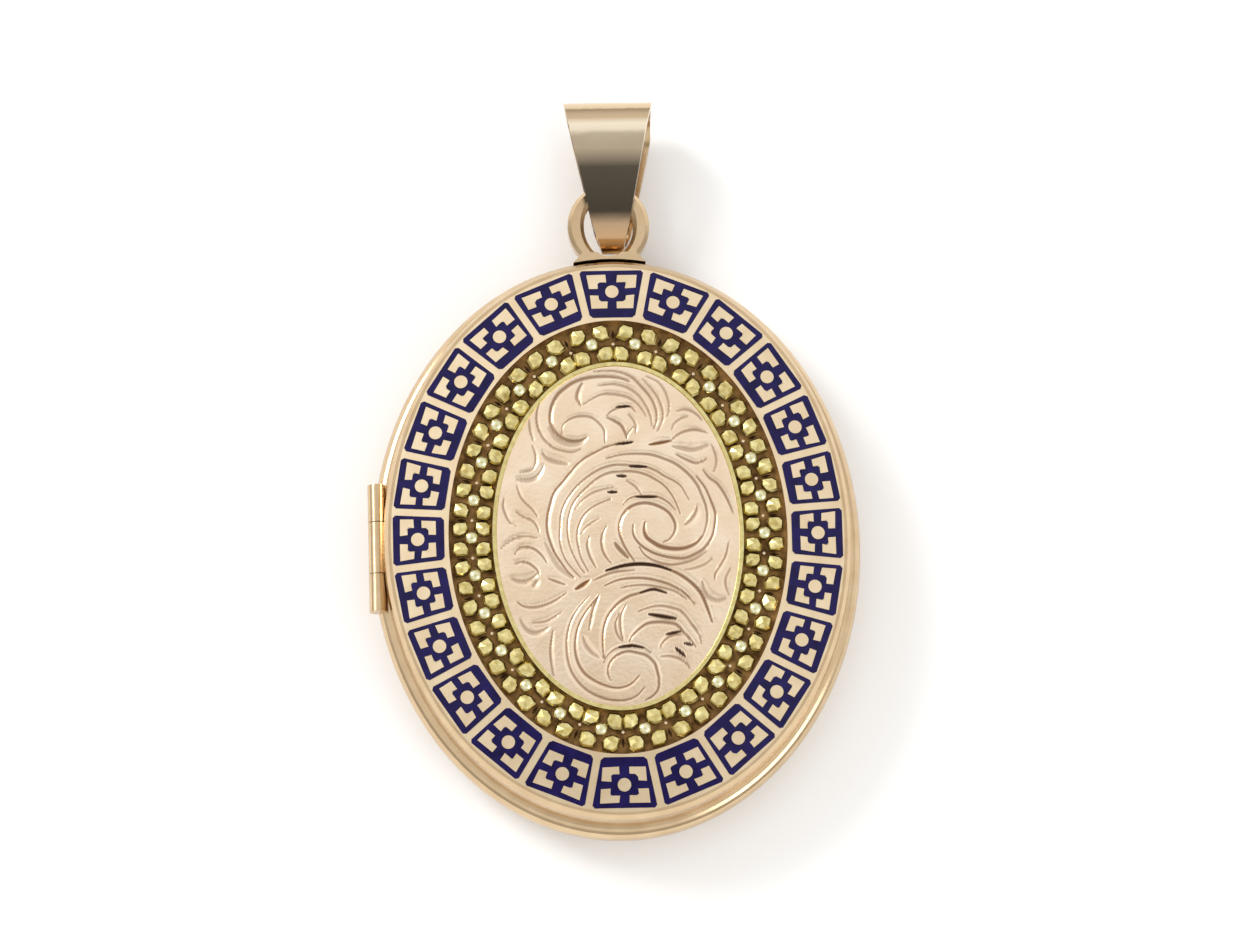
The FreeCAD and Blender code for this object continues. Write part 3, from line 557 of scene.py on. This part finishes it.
def flower_petals():
    """Four faceted petals to a flower, each a little different."""
    chance = random.Random(7)
    points, faces, rises = [], [], []
    for middle, outward, side, pitch in flower_frames():
        stretch = pitch / FLOWER_PITCH
        for sx in (-1, 1):
            for sy in (-1, 1):
                start = len(points)
                for level, shrink in PETAL_LEVELS:
                    for px, py in PETAL:
                        px = PETAL_MIDDLE[0] + (px - PETAL_MIDDLE[0]) * shrink
                        px += chance.uniform(-PETAL_ROUGHNESS, PETAL_ROUGHNESS)
                        py = PETAL_MIDDLE[1] + (py - PETAL_MIDDLE[1]) * shrink
                        py += chance.uniform(-PETAL_ROUGHNESS, PETAL_ROUGHNESS)
                        spot = middle + side * (px * sx * stretch) + outward * (py * sy)
                        points.append((spot.x, spot.y, level + chance.uniform(-0.01, 0.02)))
                        # rise is the share of height that drives the painted shade at the petal's foot.
                        rises.append((level - CHANNEL_FLOOR) / (PETAL_SHOULDER - CHANNEL_FLOOR))
                spot = middle + side * (PETAL_MIDDLE[0] * sx * stretch) + outward * (PETAL_MIDDLE[1] * sy)
                points.append((spot.x, spot.y, PETAL_PEAK + chance.uniform(-0.03, 0.03)))
                rises.append(1.0)
                corners = len(PETAL)
                turned_over = sx * sy > 0
                for k in range(corners):
                    n = (k + 1) % corners
                    for row in (0, corners):
                        base = start + row
                        face = (base + k, base + n, base + corners + n, base + corners + k)
                        faces.append(face[::-1] if turned_over else face)
                    face = (start + 2 * corners + k, start + 2 * corners + n, start + 3 * corners)
                    faces.append(face[::-1] if turned_over else face)
                foot = tuple(start + k for k in range(corners))
                faces.append(foot if turned_over else foot[::-1])
    item = piece("flower_petals_cut", points, faces, "front_cover", petal_material(), "yellow_gold")
    item.data.attributes.new("rise", "FLOAT", "POINT").data.foreach_set("value", rises)
    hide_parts("flower_petals")


# Radius and height of the post and its round head, from the floor up.
BALL_PROFILE = ((0.26, CHANNEL_FLOOR), (0.26, 5.50), (0.33, 5.58), (0.34, 5.65), (0.31, 5.73), (0.23, 5.80),
                (0.12, 5.84))
BALL_TOP = 5.85


def flower_balls():
    """A round-headed post in the middle of each flower."""
    points, faces = [], []
    around = 16
    for middle, outward, side, _ in flower_frames():
        start = len(points)
        for radius, height in BALL_PROFILE:
            for k in range(around):
                angle = 2 * math.pi * k / around
                spot = middle + (side * math.cos(angle) - outward * math.sin(angle)) * radius
                points.append((spot.x, spot.y, height))
        points.append((middle.x, middle.y, BALL_TOP))
        for row in range(len(BALL_PROFILE) - 1):
            for k in range(around):
                n = (k + 1) % around
                a = start + row * around
                faces.append((a + k, a + around + k, a + around + n, a + n))
        top = start + (len(BALL_PROFILE) - 1) * around
        for k in range(around):
            faces.append((top + k, len(points) - 1, top + (k + 1) % around))
        faces.append(tuple(start + k for k in range(around)))
    item = piece("flower_balls", points, faces, "front_cover", bead_gold, "yellow_gold", True)
    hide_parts("flower_centres")


def between_flowers():
    """Dark bars and small bright diamonds between the flowers."""
    for name, material, slot, spots in (
            # The dark bars are painted shade in place of pits between the flowers.
            ("channel_bars", pit_painted_shade, "yellow_gold", ((0.55, 0.30, 0.085), (-0.58, 0.30, 0.085))),
            ("channel_diamonds", plate_gold, "yellow_gold", ((0.0, 0.13, 0.13),))):
        points, faces = [], []
        for i in range(FLOWERS):
            turn = station(i, FLOWERS, FLOWER_CROWDING)
            middle, outward = along_oval(FLOWER_LINE, turn)
            side = Vector((outward.y, -outward.x, 0))
            for place, length, width in spots:
                start = len(points)
                for level, share in ((CHANNEL_FLOOR, 1.0), (CHANNEL_FLOOR + 0.09, 0.75)):
                    for a, b in ((1, 0), (0, 1), (-1, 0), (0, -1)):
                        spot = middle + outward * (place + a * length * share) + side * (b * width * share)
                        points.append((spot.x, spot.y, level))
                for k in range(4):
                    n = (k + 1) % 4
                    faces.append((start + n, start + k, start + 4 + k, start + 4 + n))
                faces.append((start + 7, start + 6, start + 5, start + 4))
                faces.append((start, start + 1, start + 2, start + 3))
        piece(name, points, faces, "front_cover", material, slot)


flower_petals()
flower_balls()
between_flowers()


# ---------------------------------------------------------------- enamel cells
# The plate slopes from its outer edge up to its inner edge.
PLATE_OUTER = 12.2
PLATE_WIDTH = 3.1
PLATE_LOW = 5.25
PLATE_RISE = 0.35
PLATE_BOTTOM = 4.96
NARROWEST_OVAL = 8.0
WIDEST_OVAL = 13.0
CELL_REACH = 1.38
DOT_RADIUS = 0.36
DOT_SIDES = 20
USUAL_CELL = 2.25
ISLAND_DRIFT = 0.03
ISLAND_FLARE = 0.09
TILE_FOOT = 0.2
ISLAND_FOOT = 0.1
SPOKE_HALF = 0.2
CELL_CORNER = 0.15
TILE_LIFT = 0.03
ISLAND_LIFT = 0.055
ISLAND = ((0.20, 0.56), (0.20, 0.96), (0.94, 0.96), (0.94, 0.20), (0.56, 0.20), (0.60, 0.42), (0.46, 0.60))


def cell_frames():
    """Middle and directions of each cell, and the place and outward direction of its two ends."""
    for i in range(CELLS):
        turn = station(i, CELLS, CELL_CROWDING)
        middle, outward = along_oval(CELL_LINE, turn)
        half = []
        for edge in (i - 0.5, i + 0.5):
            place, square = along_oval(CELL_LINE, station(edge, CELLS, CELL_CROWDING))
            half.append((place, square))
        yield middle, outward, Vector((outward.y, -outward.x, 0)), half


def slope_height(half_width):
    """Height of the plate's slope on an oval of this half width."""
    return PLATE_LOW + (PLATE_OUTER - half_width) / PLATE_WIDTH * PLATE_RISE


def plate_height(place):
    """Height of the sloping plate at a place, found from the oval that runs through it."""
    low, high = NARROWEST_OVAL, WIDEST_OVAL
    for _ in range(30):
        middle = (low + high) / 2
        if (place.x / middle) ** 2 + (place.y / (middle + ELONGATION)) ** 2 > 1:
            low = middle
        else:
            high = middle
    return slope_height(low)


def raised(points, faces, outline, lift, foot):
    """Thin raised shape that follows the slope of the plate."""
    start = len(points)
    count = len(outline)
    for level in (-foot, lift):
        for place in outline:
            points.append((place.x, place.y, plate_height(place) + level))
    middle = sum(outline, Vector((0, 0, 0))) / count
    points.append((middle.x, middle.y, plate_height(middle) + lift))
    for k in range(count):
        n = (k + 1) % count
        faces.append((start + k, start + n, start + count + n, start + count + k))
        faces.append((start + count + k, start + count + n, start + 2 * count))
    faces.append(tuple(start + k for k in reversed(range(count))))


def facing_up(item):
    """Turns all faces of a closed mesh outward."""
    sheet = bmesh.new()
    sheet.from_mesh(item.data)
    bmesh.ops.recalc_face_normals(sheet, faces=sheet.faces)
    sheet.to_mesh(item.data)
    sheet.free()


def enamel_ring():
    """Enamel tiles, with a gold dot and four notched islands on each."""
    chance = random.Random(11)
    tile_points, tile_faces, gold_points, gold_faces = [], [], [], []
    for middle, outward, side, (before, after) in cell_frames():
        outline = []
        shape = []
        for edge, sign, out in ((before, 1, -CELL_REACH), (before, 1, CELL_REACH),
                                (after, -1, CELL_REACH), (after, -1, -CELL_REACH)):
            place, square = edge
            along = Vector((square.y, -square.x, 0))
            shape.append(place + square * out + along * (SPOKE_HALF * sign))
        for k in range(4):
            here = shape[k]
            for other in (shape[k - 1], shape[(k + 1) % 4]):
                outline.append(here.lerp(other, CELL_CORNER / (other - here).length))
        raised(tile_points, tile_faces, outline, TILE_LIFT, TILE_FOOT)
        stretch = ((after[0] - before[0]).length - 2 * SPOKE_HALF) / USUAL_CELL
        disc = []
        for k in range(DOT_SIDES):
            angle = 2 * math.pi * k / DOT_SIDES
            disc.append(middle + (side * math.cos(angle) + outward * math.sin(angle)) * DOT_RADIUS)
        raised(gold_points, gold_faces, disc, ISLAND_LIFT, ISLAND_FOOT)
        for sx in (-1, 1):
            for sy in (-1, 1):
                patch = []
                for px, py in ISLAND:
                    px = (px + chance.uniform(-ISLAND_DRIFT, ISLAND_DRIFT)) * sx * stretch
                    px *= 1 + ISLAND_FLARE * sy * py
                    py = (py + chance.uniform(-ISLAND_DRIFT, ISLAND_DRIFT)) * sy
                    patch.append(middle + side * px + outward * py)
                raised(gold_points, gold_faces, patch, ISLAND_LIFT, ISLAND_FOOT)
    tiles = piece("enamel_tiles", tile_points, tile_faces, "front_cover", navy, "enamel")
    islands = piece("enamel_islands", gold_points, gold_faces, "front_cover", plate_gold, "rose_gold")
    for item in (tiles, islands):
        facing_up(item)
    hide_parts("enamel_cells")


def plain_plate():
    """The gold plate under the enamel, without the plain islands of the CAD plate."""
    steps = 360
    inner = PLATE_OUTER - PLATE_WIDTH
    top = [(half_width, slope_height(half_width)) for half_width in (PLATE_OUTER, 11.5, CELL_LINE, 10.0, inner)]
    profile = [(PLATE_OUTER, PLATE_BOTTOM), *top, (inner, PLATE_BOTTOM)]
    points, faces = [], []
    for half_width, height in profile:
        for k in range(steps):
            edge = oval_point(half_width, 2 * math.pi * k / steps)
            points.append((edge.x, edge.y, height))
    rows = len(profile)
    for row in range(rows):
        for k in range(steps):
            n = (k + 1) % steps
            below = (row + 1) % rows
            faces.append((row * steps + k, row * steps + n, below * steps + n, below * steps + k))
    item = piece("enamel_ground", points, faces, "front_cover", plate_gold, "rose_gold")
    facing_up(item)
    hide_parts("enamel_plate")


enamel_ring()
plain_plate()


# ---------------------------------------------------------------- crystals
GLASS_GAP = 0.03
GLASS_BEVEL = 0.06


def photo_crystal(name, node, body, card_above):
    """Clear oval with softened edges, kept just off the card so their faces stay apart."""
    low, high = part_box(node)
    bottom = low.z / MM + (0 if card_above else GLASS_GAP)
    top = high.z / MM - (GLASS_GAP if card_above else 0)
    steps = 180
    points, faces = [], []
    for inset, height in ((GLASS_BEVEL, bottom), (0, bottom + GLASS_BEVEL),
                          (0, top - GLASS_BEVEL), (GLASS_BEVEL, top)):
        half_width = high.x / MM - inset
        half_length = high.y / MM - inset
        for k in range(steps):
            turn = 2 * math.pi * k / steps
            points.append((half_width * math.sin(turn), half_length * math.cos(turn), height))
    for row in range(3):
        for k in range(steps):
            n = (k + 1) % steps
            faces.append((row * steps + k, row * steps + n, (row + 1) * steps + n, (row + 1) * steps + k))
    faces.append(tuple(range(steps)))
    faces.append(tuple(3 * steps + k for k in reversed(range(steps))))
    item = piece(name, points, faces, body, crystal, "crystal")
    facing_up(item)
    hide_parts(node)


photo_crystal("back_crystal", "back_photo_glass", "back_case", False)
photo_crystal("front_crystal", "front_photo_glass", "front_cover", True)


# ---------------------------------------------------------------- floor, light and camera
LAMPS = (("key", (-0.5, 0.35, 0.45), 0.3, 3.0), ("fill", (0.45, -0.3, 0.4), 0.4, 1.2))
FLOOR_REACH = 1.5
FLOOR_LEVEL = -0.0001
# The camera looks from above the foot of the locket, a little from its left.
CAMERA_ELEVATION = 76
CAMERA_AZIMUTH = -9
CAMERA_LEAN = -1.5
CAMERA_LENS = 200
CAMERA_DISTANCE = 0.3757
PLATE_MIDDLE = (0, 0, 0.0054)
AIM_RIGHT = 0.00064
AIM_UP = 0.00340


def studio():
    """Floor, lamps, sky and camera."""
    floor_mesh = bpy.data.meshes.new("floor")
    corners = ((-1, -1), (1, -1), (1, 1), (-1, 1))
    floor_points = [(x * FLOOR_REACH, y * FLOOR_REACH, FLOOR_LEVEL) for x, y in corners]
    floor_mesh.from_pydata(floor_points, [], [(0, 1, 2, 3)])
    floor = bpy.data.objects.new("floor", floor_mesh)
    bpy.context.scene.collection.objects.link(floor)
    material, tree, shader = value_nodes("floor_white")
    shader.inputs["Roughness"].default_value = 0.9
    colour = ramp(tree, noise(tree, 3), [(0.3, (0.93, 0.93, 0.93)), (0.7, (0.95, 0.95, 0.95))])
    tree.links.new(colour, shader.inputs["Base Color"])
    floor_mesh.materials.append(material)

    for name, place, size, power in LAMPS:
        light = bpy.data.lights.new(name, "AREA")
        light.size = size
        light.energy = power
        lamp = bpy.data.objects.new(name, light)
        lamp.location = place
        lamp.rotation_euler = (-Vector(place)).to_track_quat("-Z", "Y").to_euler()
        bpy.context.scene.collection.objects.link(lamp)

    world = bpy.data.worlds.new("studio_world")
    bpy.context.scene.world = world
    world.use_nodes = True
    tree = world.node_tree
    coords = tree.nodes.new("ShaderNodeTexCoord")
    split = tree.nodes.new("ShaderNodeSeparateXYZ")
    tree.links.new(coords.outputs["Generated"], split.inputs["Vector"])
    sky = ramp(tree, split.outputs["Z"], [(0.0, (0.35, 0.33, 0.30)), (0.35, (0.80, 0.79, 0.77)),
                                          (0.75, (1.0, 1.0, 1.0)), (0.975, (0.95, 0.94, 0.92)),
                                          (0.995, (0.45, 0.42, 0.38))])
    tree.links.new(sky, tree.nodes["Background"].inputs["Color"])
    tree.nodes["Background"].inputs["Strength"].default_value = 1.0

    lift = math.radians(CAMERA_ELEVATION)
    swing = math.radians(CAMERA_AZIMUTH)
    back = Vector((math.sin(swing) * math.cos(lift), -math.cos(swing) * math.cos(lift), math.sin(lift)))
    flat_up = (Vector((0, 1, 0)) - back * back.y).normalized()
    up = Matrix.Rotation(math.radians(CAMERA_LEAN), 3, back) @ flat_up
    right = up.cross(back).normalized()
    aim = Vector(PLATE_MIDDLE) + right * AIM_RIGHT + up * AIM_UP
    data = bpy.data.cameras.new("camera")
    data.lens = CAMERA_LENS
    data.clip_start = 0.01
    camera = bpy.data.objects.new("camera", data)
    facing = Matrix((right, up, back)).transposed().to_4x4()
    camera.matrix_world = Matrix.Translation(aim + back * CAMERA_DISTANCE) @ facing
    bpy.context.scene.collection.objects.link(camera)
    bpy.context.scene.camera = camera
    bpy.context.scene.view_settings.view_transform = "Standard"


studio()
